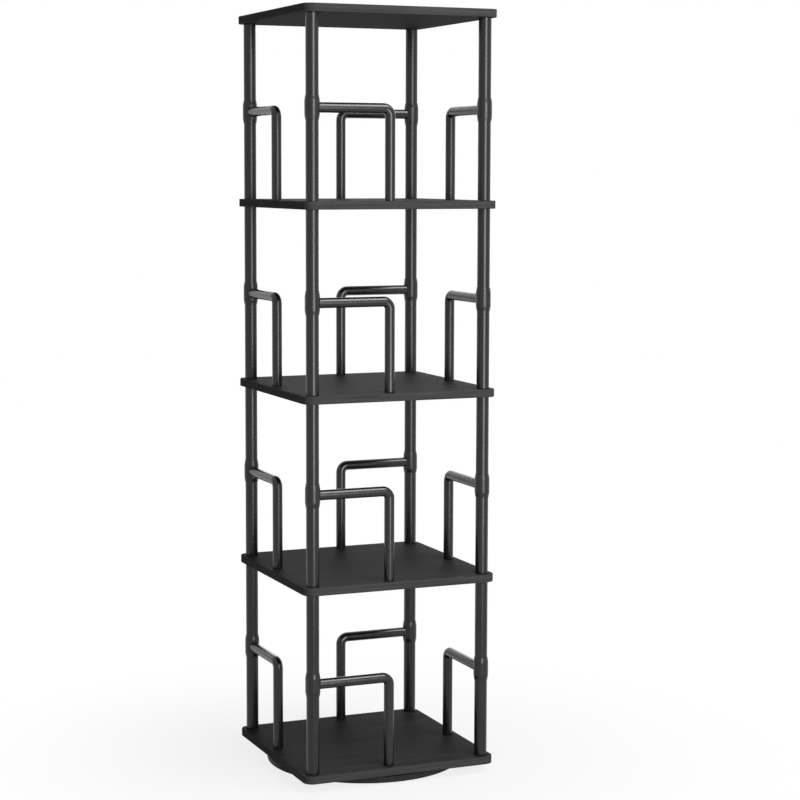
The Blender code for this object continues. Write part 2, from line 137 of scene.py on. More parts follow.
class Bench:
    """Modelling steps that the pieces share, each made with Blender's own operators."""

    @staticmethod
    def clear() -> None:
        """Deselects everything, so that the next operator acts on the new piece alone."""
        bpy.ops.object.select_all(action="DESELECT")

    @staticmethod
    def focus(piece: Piece) -> None:
        """Selects one piece alone and makes it active.

        Args:
            piece: the piece that the next operators act on.
        """
        Bench.clear()
        piece.select_set(True)
        bpy.context.view_layer.objects.active = piece

    @staticmethod
    def settle(piece: Piece, name: str) -> Piece:
        """Names a new piece and applies its place to its mesh.

        Args:
            piece: a primitive that was just added, or a copy.
            name: the piece's name.

        Returns:
            The same piece, with its object at the origin.
        """
        piece.name = name
        piece.data.name = name
        Bench.focus(piece)
        bpy.ops.object.transform_apply(location=True, rotation=True, scale=True)
        return piece

    @staticmethod
    def block(name: str, centre: Sequence[float], extent: Sequence[float], turn: float = 0.0) -> Piece:
        """Adds a box.

        Args:
            name: the box's name.
            centre: its centre.
            extent: its size along X, Y and Z.
            turn: its turn about Z, in radians.

        Returns:
            The box.
        """
        Bench.clear()
        bpy.ops.mesh.primitive_cube_add(size=1, location=centre, rotation=(0, 0, turn), scale=extent)
        return Bench.settle(bpy.context.active_object, name)

    @staticmethod
    def rod(
        name: str,
        sides: int,
        radius: float,
        length: float,
        centre: Sequence[float] = (0, 0, 0),
        lying: bool = False,
    ) -> Piece:
        """Adds a straight rod.

        Args:
            name: the rod's name.
            sides: faces round it.
            radius: its radius.
            length: its length.
            centre: its centre.
            lying: whether it lies along X instead of standing along Z.

        Returns:
            The rod.
        """
        Bench.clear()
        bpy.ops.mesh.primitive_cylinder_add(
            vertices=sides,
            radius=radius,
            depth=length,
            location=centre,
            rotation=(0, math.pi / 2 if lying else 0, 0),
        )
        return Bench.settle(bpy.context.active_object, name)

    @staticmethod
    @contextmanager
    def editing(piece: Piece) -> Iterator[None]:
        """Edit mode on one piece, with all of it selected at the start.

        Args:
            piece: the piece to edit.

        Yields:
            Nothing. The piece stays in edit mode until the block ends.
        """
        Bench.focus(piece)
        bpy.ops.object.mode_set(mode="EDIT")
        bpy.ops.mesh.select_all(action="SELECT")
        yield
        bpy.ops.object.mode_set(mode="OBJECT")

    @staticmethod
    def pick_edges(piece: Piece, test: Callable[[Vector, Vector], bool]) -> None:
        """Selects the edges of a piece in edit mode by the places of their ends.

        Args:
            piece: the piece that is being edited.
            test: says for the two ends of an edge whether to select it.
        """
        bpy.ops.mesh.select_mode(type="EDGE")
        bpy.ops.mesh.select_all(action="DESELECT")
        mesh = bmesh.from_edit_mesh(piece.data)
        for edge in mesh.edges:
            edge.select_set(test(edge.verts[0].co, edge.verts[1].co))
        bmesh.update_edit_mesh(piece.data)

    @staticmethod
    def seal() -> None:
        """Merges the doubled points of the piece in edit mode and points its faces out."""
        bpy.ops.mesh.select_all(action="SELECT")
        bpy.ops.mesh.remove_doubles(threshold=MERGE_DISTANCE)
        bpy.ops.mesh.normals_make_consistent(inside=False)

    @staticmethod
    def apply(piece: Piece, kind: str, **settings: object) -> None:
        """Adds a modifier with the given settings and applies it.

        Args:
            piece: the piece to change.
            kind: the modifier's type, such as BEVEL.
            settings: the modifier's properties by name.
        """
        Bench.focus(piece)
        step = piece.modifiers.new(kind.title(), kind)
        for key, value in settings.items():
            setattr(step, key, value)
        bpy.ops.object.modifier_apply(modifier=step.name)

    @staticmethod
    def carve(piece: Piece, tool: Piece, operation: str = "DIFFERENCE") -> None:
        """Applies a Boolean with a tool, removes the tool and merges the doubled points on the cut.

        Args:
            piece: the piece to change.
            tool: the shape that cuts it or joins it.
            operation: DIFFERENCE or UNION.
        """
        Bench.apply(piece, "BOOLEAN", object=tool, operation=operation, solver="EXACT")
        Bench.drop(tool)
        with Bench.editing(piece):
            bpy.ops.mesh.remove_doubles(threshold=MERGE_DISTANCE)

    @staticmethod
    def soften(piece: Piece, width: float, segments: int = 2) -> Piece:
        """Rounds every crisp edge of a piece and shades it smooth.

        Args:
            piece: the piece to change.
            width: width of the rounding.
            segments: faces across it.

        Returns:
            The same piece.
        """
        Bench.apply(
            piece,
            "BEVEL",
            width=width,
            segments=segments,
            limit_method="ANGLE",
            angle_limit=CRISP_ANGLE,
            use_clamp_overlap=True,
        )
        Bench.smooth(piece)
        return piece

    @staticmethod
    def smooth(piece: Piece, angle: float = CRISP_ANGLE) -> None:
        """Shades a piece smooth, with flat faces kept flat.

        Args:
            piece: the piece to shade.
            angle: edges that turn by more than this stay crisp.
        """
        Bench.focus(piece)
        bpy.ops.object.shade_smooth_by_angle(angle=angle)
        Bench.apply(piece, "WEIGHTED_NORMAL", keep_sharp=True, weight=100)

    @staticmethod
    def turn(name: str, outline: Outline, steps: int, closed: bool) -> Piece:
        """Turns an outline about Z, from one vertex that is extruded from point to point and then spun.

        Args:
            name: the piece's name.
            outline: (radius, height) points in order.
            steps: faces round the turn.
            closed: whether the last point joins the first, as on a ring.

        Returns:
            The turned piece, with its faces pointing out.
        """
        Bench.clear()
        bpy.ops.mesh.primitive_plane_add(size=max(radius for radius, _ in outline), location=(0, 0, 0))
        piece = Bench.settle(bpy.context.active_object, name)
        with Bench.editing(piece):
            bpy.ops.mesh.select_mode(type="VERT")
            bpy.ops.mesh.merge(type="CENTER")
            bpy.ops.transform.translate(value=(outline[0][0], 0, outline[0][1]))
            for (radius, height), (next_radius, next_height) in zip(outline, outline[1:]):
                step = (next_radius - radius, 0, next_height - height)
                bpy.ops.mesh.extrude_region_move(TRANSFORM_OT_translate={"value": step})
            if closed:
                mesh = bmesh.from_edit_mesh(piece.data)
                for vert in mesh.verts:
                    vert.select_set(len(vert.link_edges) == 1)
                bmesh.update_edit_mesh(piece.data)
                bpy.ops.mesh.edge_face_add()
            bpy.ops.mesh.select_all(action="SELECT")
            bpy.ops.mesh.spin(steps=steps, angle=2 * math.pi, center=(0, 0, 0), axis=(0, 0, 1))
            Bench.seal()
        return piece

    @staticmethod
    def copy(piece: Piece, name: str, place: Matrix) -> Piece:
        """Copies a piece with its own mesh and applies its place to that mesh.

        Args:
            piece: the piece to copy.
            name: the copy's name.
            place: where the copy goes.

        Returns:
            The copy, with its object at the origin.
        """
        twin = piece.copy()
        twin.data = piece.data.copy()
        bpy.context.collection.objects.link(twin)
        twin.matrix_world = place
        return Bench.settle(twin, name)

    @staticmethod
    def drop(*pieces: Piece) -> None:
        """Removes tools that have cut, or patterns whose copies are made."""
        for piece in pieces:
            bpy.data.objects.remove(piece)


@dataclass(frozen=True)
class Plan:
    """Sizes and places of the case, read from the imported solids.

    Args:
        half_spacing: distance of a post's axis from the turning axis, along X and along Y.
        floors: heights of the boards' top faces, from the base up.
        board_thickness: thickness of every board.
        post_radius: outer radius of a post.
        rail_height: height of a guard's rail over its board.
        guard_radius: outer radius of a guard's tube.
        guard_reach: distance from a post's axis to the leg of its guard.
        collar_height: height of a collar.
    """

    half_spacing: float
    floors: tuple[float, ...]
    board_thickness: float
    post_radius: float
    rail_height: float
    guard_radius: float
    guard_reach: float
    collar_height: float

    @classmethod
    def read(cls) -> "Plan":
        """Measures the solids.

        Returns:
            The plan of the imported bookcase.
        """
        boards = [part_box(board.value) for board in Board]
        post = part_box("bottom_post_front_left")
        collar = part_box("bottom_collar_front_left")
        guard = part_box("bottom_guard_front")
        half = -(post[0].x + post[1].x) / 2
        radius = (guard[1].y - guard[0].y) / 2
        floor = boards[0][1].z
        return cls(
            half_spacing=half,
            floors=tuple(high.z for _, high in boards),
            board_thickness=boards[0][1].z - boards[0][0].z,
            post_radius=(post[1].x - post[0].x) / 2,
            rail_height=(collar[0].z + collar[1].z) / 2 - floor,
            guard_radius=radius,
            guard_reach=guard[1].x - radius + half,
            collar_height=collar[1].z - collar[0].z,
        )

    @property
    def post_length(self) -> float:
        """Length of a post's tube between two boards."""
        return self.floors[1] - self.floors[0] - self.board_thickness - 2 * FIT_GAP

    def at_post(self, quarter: Quarter, height: float) -> Matrix:
        """Place on a post's axis at a height, turned with its corner."""
        foot = Vector((-self.half_spacing, -self.half_spacing, height))
        return quarter.turn @ Matrix.Translation(foot)

    def at_guard_foot(self, quarter: Quarter, height: float) -> Matrix:
        """Place on the axis of a guard's leg at a height, turned with its corner."""
        foot = Vector((self.guard_reach - self.half_spacing, -self.half_spacing, height))
        return quarter.turn @ Matrix.Translation(foot)


class Wiring:
    """The shader nodes of a material or of a world, being put together."""

    def __init__(self, owner: Material | bpy.types.World) -> None:
        """Turns on the owner's nodes.

        Args:
            owner: the material or the world.
        """
        owner.use_nodes = True
        self.nodes = owner.node_tree.nodes
        self.links = owner.node_tree.links

    def feed(self, node: bpy.types.Node, sockets: Mapping[str | int, object]) -> None:
        """Sets or links the inputs of a node.

        Args:
            node: the node.
            sockets: the value of each input, or the socket that feeds it, by the input's name or number.
        """
        for key, value in sockets.items():
            if isinstance(value, Socket):
                self.links.new(value, node.inputs[key])
            else:
                node.inputs[key].default_value = value

    def add(self, kind: str, sockets: Mapping[str | int, object], **settings: str) -> bpy.types.Node:
        """Adds a node.

        Args:
            kind: the node's type, without the ShaderNode that every type starts with.
            sockets: what its inputs get, as feed takes it.
            settings: its own settings, such as the operation of a Math node.

        Returns:
            The node.
        """
        node = self.nodes.new(f"ShaderNode{kind}")
        for key, value in settings.items():
            setattr(node, key, value)
        self.feed(node, sockets)
        return node

    def seen_rays(self) -> Socket:
        """Tells the rays of the camera, of reflections and of clear glass from the rest.

        Returns:
            A socket that is 1 on those rays and 0 on others.
        """
        path = self.add("LightPath", {})
        factor = path.outputs["Is Camera Ray"]
        for ray in ("Is Glossy Ray", "Is Transmission Ray"):
            either = self.add("Math", {0: factor, 1: path.outputs[ray]}, operation="MAXIMUM")
            factor = either.outputs["Value"]
        return factor

    def show_mix(self, factor: Socket, first: Socket, second: Socket, output: str) -> None:
        """Sends a mix of two shaders to an output node, where the factor is the share of the second."""
        mixed = self.add("MixShader", {"Fac": factor, 1: first, 2: second})
        self.feed(self.nodes[output], {"Surface": mixed.outputs["Shader"]})


def even(frequency: float) -> Frequency:
    """The same frequency along all three axes."""
    return (frequency, frequency, frequency)


@dataclass(frozen=True)
class Noise:
    """A noise texture in the object's own space.

    Args:
        frequency: waves per metre along X, Y and Z, so that unlike values draw streaks.
        detail: octaves of finer noise.
        grit: strength of the finer octaves.
    """

    frequency: Frequency
    detail: float = 2.0
    grit: float = 0.5


Pattern = tuple[tuple[Noise, float], ...]
Span = tuple[float, float]


class Recipe(Wiring):
    """A finish being put together: a Principled shader and the textures that feed it."""

    def __init__(self, name: str) -> None:
        """Starts a material.

        Args:
            name: the material's name.
        """
        self.material = bpy.data.materials.new(name)
        super().__init__(self.material)
        self.shader = self.nodes["Principled BSDF"]
        self.place = self.add("TexCoord", {}).outputs["Object"]

    def noise(self, noise: Noise) -> Socket:
        """Adds a noise texture.

        Args:
            noise: the texture.

        Returns:
            Its factor, near 0.5 on average.
        """
        scaled = self.add("Mapping", {"Scale": noise.frequency, "Vector": self.place}).outputs["Vector"]
        octaves = {"Scale": 1.0, "Detail": noise.detail, "Roughness": noise.grit}
        return self.add("TexNoise", {**octaves, "Vector": scaled}).outputs["Fac"]

    def spread(self, factor: Socket, low: float, high: float) -> Socket:
        """Maps the middle part of a noise onto the range from low to high."""
        ends = {"From Min": NOISE_LOW, "From Max": NOISE_HIGH, "To Min": low, "To Max": high}
        return self.add("MapRange", {"Value": factor, **ends}).outputs["Result"]


@dataclass(frozen=True)
class Finish:
    """What every finish has. Each kind of finish fills in the values from shades on.

    Args:
        name: the material's name.
        colour: mean colour.
        roughness: mean roughness.
        specular: strength of the mirror reflection, where 0.5 is that of common plastic.
        shades: darkest and lightest shade, as shares of the mean colour.
        pattern: noises that add up to the pattern of shades, each with its share.
        gloss: noise of the roughness, or None where the last noise of the pattern also sets it.
        gloss_range: how far the roughness goes from its mean, at the noise's lower and upper end.
        relief: noise of the surface's height.
        relief_depth: depth of the relief.
        relief_strength: strength of the relief, from 0 to 1.
        metallic: 0 for paint, foil, plastic and rubber, 1 for bare steel.
    """

    name: str
    colour: Colour
    roughness: float
    specular: float = 0.5
    _: KW_ONLY
    shades: Span
    pattern: Pattern
    gloss: Noise | None
    gloss_range: Span
    relief: Noise
    relief_depth: float
    relief_strength: float
    metallic: float = 0.0

    def make(self) -> Material:
        """Builds the material.

        Returns:
            The material.
        """
        recipe = Recipe(self.name)
        plain = {"Roughness": self.roughness, "Metallic": self.metallic}
        recipe.feed(recipe.shader, {**plain, "Specular IOR Level": self.specular})
        tints = [recipe.spread(recipe.noise(noise), 0, share) for noise, share in self.pattern]
        shade = tints[0]
        for tint in tints[1:]:
            shade = recipe.add("Math", {0: shade, 1: tint}, operation="ADD").outputs["Value"]
        dark, light = ((*(part * share for part in self.colour), 1) for share in self.shades)
        mixed = recipe.add("Mix", {"Factor": shade, "A": dark, "B": light}, data_type="RGBA")
        spots = recipe.noise(self.gloss) if self.gloss else tints[-1]
        low, high = self.gloss_range
        dullness = recipe.spread(spots, self.roughness + low, self.roughness + high)
        relief = {"Distance": self.relief_depth, "Strength": self.relief_strength}
        raised = recipe.add("Bump", {**relief, "Height": recipe.noise(self.relief)})
        recipe.feed(recipe.shader, {"Base Color": mixed.outputs["Result"], "Roughness": dullness})
        recipe.feed(recipe.shader, {"Normal": raised.outputs["Normal"]})
        return recipe.material


@dataclass(frozen=True, kw_only=True)
class PowderCoat(Finish):
    """Baked powder paint on steel tube: even black, with a fine orange peel and slight cloudiness."""

    shades: Span = (0.85, 1.15)
    pattern: Pattern = ((Noise(even(18), detail=3), 1),)
    gloss: Noise | None = Noise(even(55), detail=3)
    gloss_range: Span = (-0.035, 0.035)
    relief: Noise = Noise(even(350), detail=1)
    relief_depth: float = 0.0000012
    relief_strength: float = 1.0


@dataclass(frozen=True, kw_only=True)
class GrainedFoil(Finish):
    """Printed black foil over particle board, with faint wood grain along X and fine pores."""

    pattern: Pattern = (
        (Noise((2.5, 60, 60), detail=4, grit=0.6), 0.6),
        (Noise((14, 420, 420), detail=3, grit=0.6), 0.4),
    )
    gloss: Noise | None = None
    gloss_range: Span = (0.06, -0.06)
    relief: Noise = Noise((45, 1500, 1500))
    relief_depth: float = 0.00006
    relief_strength: float = 0.3


@dataclass(frozen=True, kw_only=True)
class EdgeBand(Finish):
    """Plastic banding ironed onto the boards' edges, with thin lines along its length."""

    shades: Span = (0.65, 1.35)
    pattern: Pattern = (
        (Noise((5, 5, 230)), 0.65),
        (Noise((24, 24, 1100)), 0.35),
    )
    gloss: Noise | None = Noise(even(40), detail=3)
    gloss_range: Span = (-0.05, 0.05)
    relief: Noise = Noise((60, 60, 1400))
    relief_depth: float = 0.00005
    relief_strength: float = 0.25


@dataclass(frozen=True, kw_only=True)
class Moulded(Finish):
    """Moulded plastic, rubber or sprayed fibre board: a fine even grain, a little cloudy."""

    shades: Span = (0.8, 1.2)
    pattern: Pattern = ((Noise(even(30), detail=4, grit=0.6), 1),)
    gloss: Noise | None = Noise(even(90))
    gloss_range: Span = (-0.05, 0.05)
    relief_strength: float = 0.4


@dataclass(frozen=True, kw_only=True)
class BareSteel(Finish):
    """Plated, blackened or polished steel, with a cloudy plating and fine scratches."""

    shades: Span = (0.82, 1.1)
    pattern: Pattern = ((Noise(even(120), detail=3), 1),)
    gloss: Noise | None = Noise(even(260), detail=3)
    gloss_range: Span = (-0.05, 0.08)
    relief: Noise = Noise((300, 2600, 2600))
    relief_depth: float = 0.00002
    relief_strength: float = 0.2
    metallic: float = 1.0


@dataclass(frozen=True)
class Finishes:
    """Every finish of the bookcase, each made once and shared by its pieces."""

    post_paint: Material
    guard_paint: Material
    collar_plastic: Material
    board_foil: Material
    board_backing: Material
    board_edge: Material
    base_lacquer: Material
    foot_rubber: Material
    race_steel: Material
    ball_steel: Material
    bolt_steel: Material

    @classmethod
    def mix(cls) -> "Finishes":
        """Makes the materials.

        Returns:
            The set that the sub-assemblies dress their pieces with.
        """
        black: Colour = (0.007, 0.007, 0.0073)
        foil: Colour = (0.020, 0.020, 0.0205)
        edge: Colour = (0.042, 0.042, 0.043)
        lacquer: Colour = (0.024, 0.024, 0.0245)
        rubber: Colour = (0.015, 0.015, 0.015)
        zinc: Colour = (0.52, 0.53, 0.55)
        polished: Colour = (0.62, 0.62, 0.63)
        blackened: Colour = (0.06, 0.06, 0.062)
        kinds: dict[str, Finish] = {
            "post_paint": PowderCoat("post_powder_coat", black, roughness=0.24, specular=0.38),
            "guard_paint": PowderCoat("guard_powder_coat", black, roughness=0.23, specular=0.42),
            "collar_plastic": Moulded(
                "collar_moulding",
                black,
                roughness=0.28,
                specular=0.38,
                relief=Noise(even(1500)),
                relief_depth=0.000002,
            ),
            "board_foil": GrainedFoil(
                "board_foil", foil, roughness=0.55, specular=0.012, shades=(0.6, 1.4)
            ),
            "board_backing": GrainedFoil(
                "board_backing_foil", foil, roughness=0.7, specular=0.01, shades=(0.8, 1.2)
            ),
            "board_edge": EdgeBand("board_edge_band", edge, roughness=0.55, specular=0.006),
            "base_lacquer": Moulded(
                "base_lacquer",
                lacquer,
                roughness=0.45,
                specular=0.05,
                relief=Noise(even(600)),
                relief_depth=0.000006,
            ),
            "foot_rubber": Moulded(
                "foot_rubber",
                rubber,
                roughness=0.8,
                specular=0.3,
                relief=Noise(even(900)),
                relief_depth=0.0001,
            ),
            "race_steel": BareSteel("zinc_plated_race", zinc, roughness=0.34),
            "ball_steel": BareSteel("polished_balls", polished, roughness=0.14),
            "bolt_steel": BareSteel("blackened_bolts", blackened, roughness=0.36),
        }
        return cls(**{use: finish.make() for use, finish in kinds.items()})


def fit_piece(
    piece: Piece,
    body: Body,
    nodes: Sequence[str] = (),
    materials: Sequence[Material] = (),
) -> None:
    """Dresses a finished piece, hides the solids that it stands for and lets it ride on its body.

    Args:
        piece: the finished piece, with its place in its mesh.
        body: the body that carries it.
        nodes: the solids that it stands for.
        materials: its materials, where the mesh has none yet.
    """
    for material in materials:
        piece.data.materials.append(material)
    if nodes:
        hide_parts(*nodes)
    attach(piece, body.value)
    LOG.info("%s rides on %s with %d faces", piece.name, body.value, len(piece.data.polygons))


@dataclass(frozen=True)
class Fastener:
    """A countersunk screw or bolt, with its drive cut into a flat head.

    Args:
        head_diameter: across the head at its flat face.
        head_depth: depth of the cone under the head.
        shank_diameter: across the shank.
        length: from the head's face to the tip.
        easing: rounding of its crisp edges.
        rim_share: height of the head's straight rim, as a share of its depth.
        point_share: length of the cone at the tip, as a share of the shank's radius.
        tip_share: radius of the tip, as a share of the shank's radius.
        sides: faces round the turn.
    """

    head_diameter: float
    head_depth: float
    shank_diameter: float
    length: float
    easing: float
    rim_share: float = 0.1
    point_share: float = 0.5
    tip_share: float = 0.7
    sides: int = 48

    def blank(self, name: str) -> Piece:
        """Turns the fastener without its drive.

        Args:
            name: the fastener's name.

        Returns:
            The blank, with its head's face at height 0 and its tip below.
        """
        head = self.head_diameter / 2
        shank = self.shank_diameter / 2
        outline = [
            (0, 0),
            (head, 0),
            (head, -self.head_depth * self.rim_share),
            (shank, -self.head_depth),
            (shank, -self.length + shank * self.point_share),
            (shank * self.tip_share, -self.length),
            (0, -self.length),
        ]
        return Bench.turn(name, outline, self.sides, closed=False)

    def hex_bolt(self, name: str, key_width: float, key_depth: float) -> Piece:
        """Makes a bolt with a hexagon socket.

        Args:
            name: the bolt's name.
            key_width: across the flats of the socket.
            key_depth: depth of the socket.

        Returns:
            The finished bolt.
        """
        bolt = self.blank(name)
        corner = key_width / 2 / math.cos(math.pi / 6)
        Bench.carve(bolt, Bench.rod("hexagon_key", 6, corner, 2 * key_depth))
        return Bench.soften(bolt, self.easing)

    def cross_screw(self, name: str, blade: Sequence[float], taper: float) -> Piece:
        """Makes a screw with a cross recess.

        Args:
            name: the screw's name.
            blade: length and width of the cross's arms, end to end, and depth of the recess.
            taper: size of the recess at its bottom, as a share of its mouth.

        Returns:
            The finished screw.
        """
        screw = self.blank(name)
        length, width, depth = blade
        for turn in (0.0, math.pi / 2):
            driver = Bench.block("driver_blade", (0, 0, 0), (length, width, 2 * depth), turn)
            with Bench.editing(driver):
                Bench.pick_edges(driver, lambda a, b: max(a.z, b.z) < 0)
                bpy.ops.transform.resize(value=(taper, taper, 1))
            Bench.carve(screw, driver)
        return Bench.soften(screw, self.easing)

    def recess(self, clearance: float, hole_play: float, thickness: float) -> Piece:
        """Makes the cutter for this fastener's countersunk hole, with the head's face at height 0.

        Args:
            clearance: gap round the head.
            hole_play: extra radius round the shank.
            thickness: thickness of the board that it goes through.

        Returns:
            The cutter, which runs past both faces of the board.
        """
        head = self.head_diameter / 2 + clearance
        hole = self.shank_diameter / 2 + hole_play
        depth = self.head_depth + clearance
        outline = [(0, thickness), (head, thickness), (head, -depth * self.rim_share), (hole, -depth)]
        outline += [(hole, -2 * thickness), (0, -2 * thickness)]
        return Bench.turn("recess_cutter", outline, self.sides, closed=False)


@dataclass
class BoardStack:
    """The five boards with their banded edges, and the bolts and screws let into them.

    Args:
        plan: sizes and places of the case.
        finishes: the materials.
        corner_radius: radius of a board's corners.
        corner_segments: faces round a corner.
        eased_edge: rounding between a face and its banded edge.
        eased_segments: faces across that rounding.
        flatness: least height of a face's normal on the foiled top, or depth on the underside.
        hole_play: extra radius round a shank or a stud.
        head_clearance: gap round a sunk head.
        cutter_length: length of the cutter for a stud's hole, more than a board's thickness.
        bolt: the bolts into the posts.
        key_width: across the flats of a bolt's hexagon socket.
        key_depth: depth of that socket.
        screw: the screws into the guards' feet.
        cross_blade: length and width of the arms of a screw's cross recess, and its depth.
        cross_taper: size of that recess at its bottom, as a share of its mouth.
    """

    plan: Plan
    finishes: Finishes
    corner_radius: float = 0.019
    corner_segments: int = 14
    eased_edge: float = 0.0012
    eased_segments: int = 3
    flatness: float = 0.99
    hole_play: float = 0.0005
    head_clearance: float = 0.0003
    cutter_length: float = 0.1
    bolt: Fastener = Fastener(
        head_diameter=0.0150, head_depth=0.0042, shank_diameter=0.008, length=0.026, easing=0.0002
    )
    key_width: float = 0.005
    key_depth: float = 0.0026
    screw: Fastener = Fastener(
        head_diameter=0.0086, head_depth=0.0027, shank_diameter=0.004, length=0.024, easing=0.00015
    )
    cross_blade: tuple[float, float, float] = (0.0048, 0.0011, 0.0016)
    cross_taper: float = 0.45

    def shape(self, board: Board) -> Piece:
        """Models one board: a slab with round corners and eased rims.

        Args:
            board: which board.

        Returns:
            The board before its holes are cut.
        """
        low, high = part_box(board.value)
        slab = Bench.block(f"{board.value}_panel", (low + high) / 2, high - low)
        upright = self.plan.board_thickness / 2
        with Bench.editing(slab):
            Bench.pick_edges(slab, lambda a, b: abs(a.z - b.z) > upright)
            bpy.ops.mesh.bevel(offset=self.corner_radius, segments=self.corner_segments, affect="EDGES")
            Bench.pick_edges(slab, lambda a, b: abs(a.z - b.z) < upright)
            bpy.ops.mesh.bevel(offset=self.eased_edge, segments=self.eased_segments, affect="EDGES")
        return slab

    def drill(self, slab: Piece, board: Board) -> None:
        """Cuts a board's holes for posts, bolts and foot screws.

        Args:
            slab: the board's slab.
            board: which board.
        """
        low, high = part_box(board.value)
        plan = self.plan
        sunk = self.bolt.recess(self.head_clearance, self.hole_play, plan.board_thickness)
        small = self.screw.recess(self.head_clearance, self.hole_play, plan.board_thickness)
        stud_hole = self.bolt.shank_diameter / 2 + self.hole_play
        plain = Bench.rod("stud_hole_cutter", self.bolt.sides, stud_hole, self.cutter_length)
        cutters: list[Piece] = []
        for quarter in Quarter:
            if board is Board.TOP:
                cutters.append(Bench.copy(sunk, "bolt_cutter", plan.at_post(quarter, high.z)))
            elif board is Board.BOTTOM:
                cutters.append(Bench.copy(sunk, "bolt_cutter", plan.at_post(quarter, low.z) @ HEAD_DOWN))
            else:
                cutters.append(Bench.copy(plain, "stud_cutter", plan.at_post(quarter, high.z)))
            if board is not Board.TOP:
                place = plan.at_guard_foot(quarter, low.z) @ HEAD_DOWN
                cutters.append(Bench.copy(small, "screw_cutter", place))
        Bench.drop(sunk, small, plain)
        for cutter in cutters:
            Bench.carve(slab, cutter)

    def band(self, slab: Piece) -> None:
        """Puts foil on a board's top, backing foil on its underside and banding on its edges and rims.

        Args:
            slab: the drilled board.
        """
        finishes = self.finishes
        for material in (finishes.board_foil, finishes.board_edge, finishes.board_backing):
            slab.data.materials.append(material)
        for face in slab.data.polygons:
            up = face.normal.z
            face.material_index = 0 if up > self.flatness else 2 if up < -self.flatness else 1

    def build(self) -> None:
        """Builds the boards and their fasteners."""
        for board in Board:
            slab = self.shape(board)
            self.drill(slab, board)
            self.band(slab)
            Bench.smooth(slab)
            fit_piece(slab, Body.CAROUSEL, [board.value])
        self.build_bolts()
        self.build_screws()

    def build_bolts(self) -> None:
        """Sets a bolt into each corner of the top board, and one into the bottom board from below."""
        pattern = self.bolt.hex_bolt("bolt_pattern", self.key_width, self.key_depth)
        pattern.data.materials.append(self.finishes.bolt_steel)
        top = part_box(Board.TOP.value)[1].z
        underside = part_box(Board.BOTTOM.value)[0].z
        for quarter in Quarter:
            upper = Bench.copy(pattern, f"top_bolt_{quarter.corner}", self.plan.at_post(quarter, top))
            fit_piece(upper, Body.CAROUSEL)
            place = self.plan.at_post(quarter, underside) @ HEAD_DOWN
            lower = Bench.copy(pattern, f"bottom_bolt_{quarter.corner}", place)
            fit_piece(lower, Body.CAROUSEL)
        Bench.drop(pattern)

    def build_screws(self) -> None:
        """Sets a screw into the foot of each guard, from under its board."""
        pattern = self.screw.cross_screw("screw_pattern", self.cross_blade, self.cross_taper)
        pattern.data.materials.append(self.finishes.bolt_steel)
        for tier in Tier:
            underside = self.plan.floors[tier.level] - self.plan.board_thickness
            for quarter in Quarter:
                place = self.plan.at_guard_foot(quarter, underside) @ HEAD_DOWN
                screw = Bench.copy(pattern, f"{tier.value}_foot_screw_{quarter.side}", place)
                fit_piece(screw, Body.CAROUSEL)
        Bench.drop(pattern)


@dataclass
class PostSet:
    """The corner posts: a tube with a threaded plug in each end and, below the top tier, a stud.

    Args:
        plan: sizes and places of the case.
        finishes: the materials.
        wall: wall of the tube.
        plug_length: length of the plug in each end.
        stud_radius: radius of the stud.
        stud_reach: how far the stud goes into the post above.
        hole_play: extra radius of a socket round a stud.
        easing: rounding of the tube's rims.
        sides: faces round the tube.
    """

    plan: Plan
    finishes: Finishes
    wall: float = 0.0012
    plug_length: float = 0.015
    stud_radius: float = 0.004
    stud_reach: float = 0.012
    hole_play: float = 0.0005
    easing: float = 0.0004
    sides: int = 72

    def pattern(self, has_stud: bool) -> Piece:
        """Turns one post with its foot at height 0.

        Args:
            has_stud: whether a stud stands on it, or a second socket is in its top.

        Returns:
            The finished post.
        """
        outer = self.plan.post_radius
        bore = outer - self.wall
        socket = self.stud_radius + self.hole_play
        length = self.plan.post_length
        plug = self.plug_length
        below = [(outer, length), (outer, 0), (socket, 0), (socket, plug)]
        below += [(bore, plug), (bore, length - plug)]
        if has_stud:
            tip = length + 2 * FIT_GAP + self.plan.board_thickness + self.stud_reach
            stud = [(0, tip), (self.stud_radius, tip), (self.stud_radius, length)]
            outline = [*stud, *below, (0, length - plug)]
        else:
            outline = [*below, (socket, length - plug), (socket, length)]
        post = Bench.turn("post_pattern", outline, self.sides, closed=not has_stud)
        return Bench.soften(post, self.easing)

    def build(self) -> None:
        """Builds the posts of every tier."""
        studded = self.pattern(has_stud=True)
        topmost = self.pattern(has_stud=False)
        for tier in Tier:
            source = topmost if tier is Tier.TOP else studded
            for quarter in Quarter:
                node = f"{tier.value}_post_{quarter.corner}"
                place = self.plan.at_post(quarter, self.plan.floors[tier.level] + FIT_GAP)
                post = Bench.copy(source, f"{node}_tube", place)
                fit_piece(post, Body.CAROUSEL, [node], [self.finishes.post_paint])
        Bench.drop(studded, topmost)


